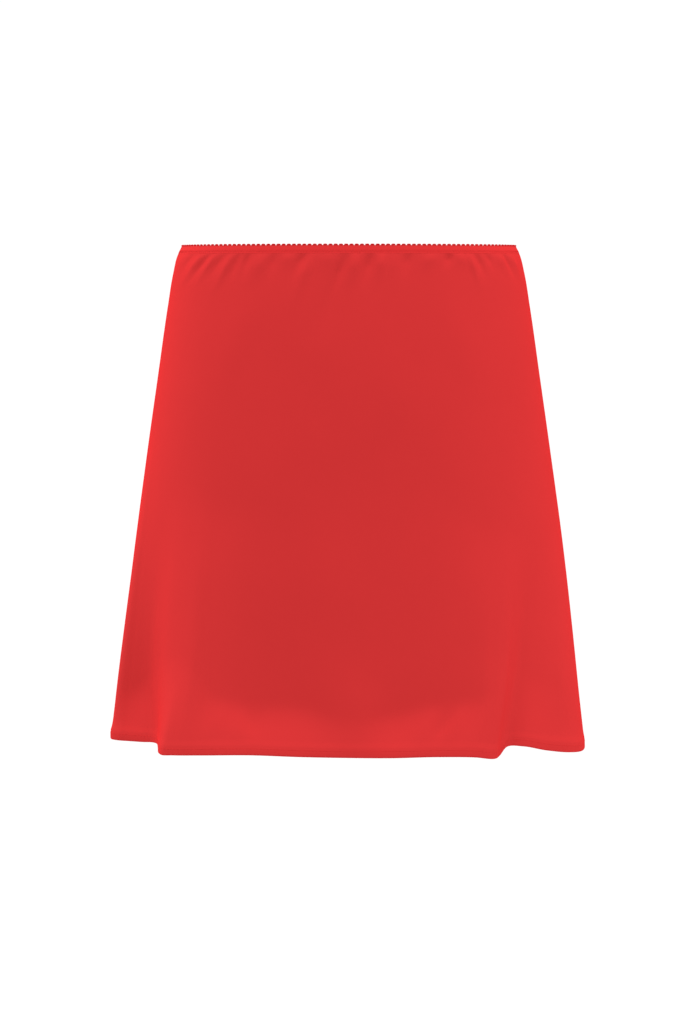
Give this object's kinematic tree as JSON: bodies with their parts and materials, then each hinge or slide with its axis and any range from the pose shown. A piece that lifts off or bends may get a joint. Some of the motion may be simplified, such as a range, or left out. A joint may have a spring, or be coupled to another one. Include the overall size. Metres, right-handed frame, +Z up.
{
  "type": "mini skirt",
  "caption": "Hollow, filled-out A-line mini skirt gathered into a picot-edged elastic waist, with hanging folds at a narrow turned hem.",
  "frame": {"origin": "middle of the waist opening, half way up the waist elastic", "axes": "+Z up through the waist, the skirt's front faces -Y, its right side as seen from the front is +X"},
  "size_m": [0.3854, 0.2432, 0.4023],
  "materials": {
    "cloth": "soft red satin-faced cloth, low sheen",
    "elastic": "matt red woven elastic with a picot edge"
  },
  "bodies": {
    "root": {"front_panel": "cloth", "back_panel": "cloth", "waist_elastic": "elastic"}
  },
  "joints": []
}
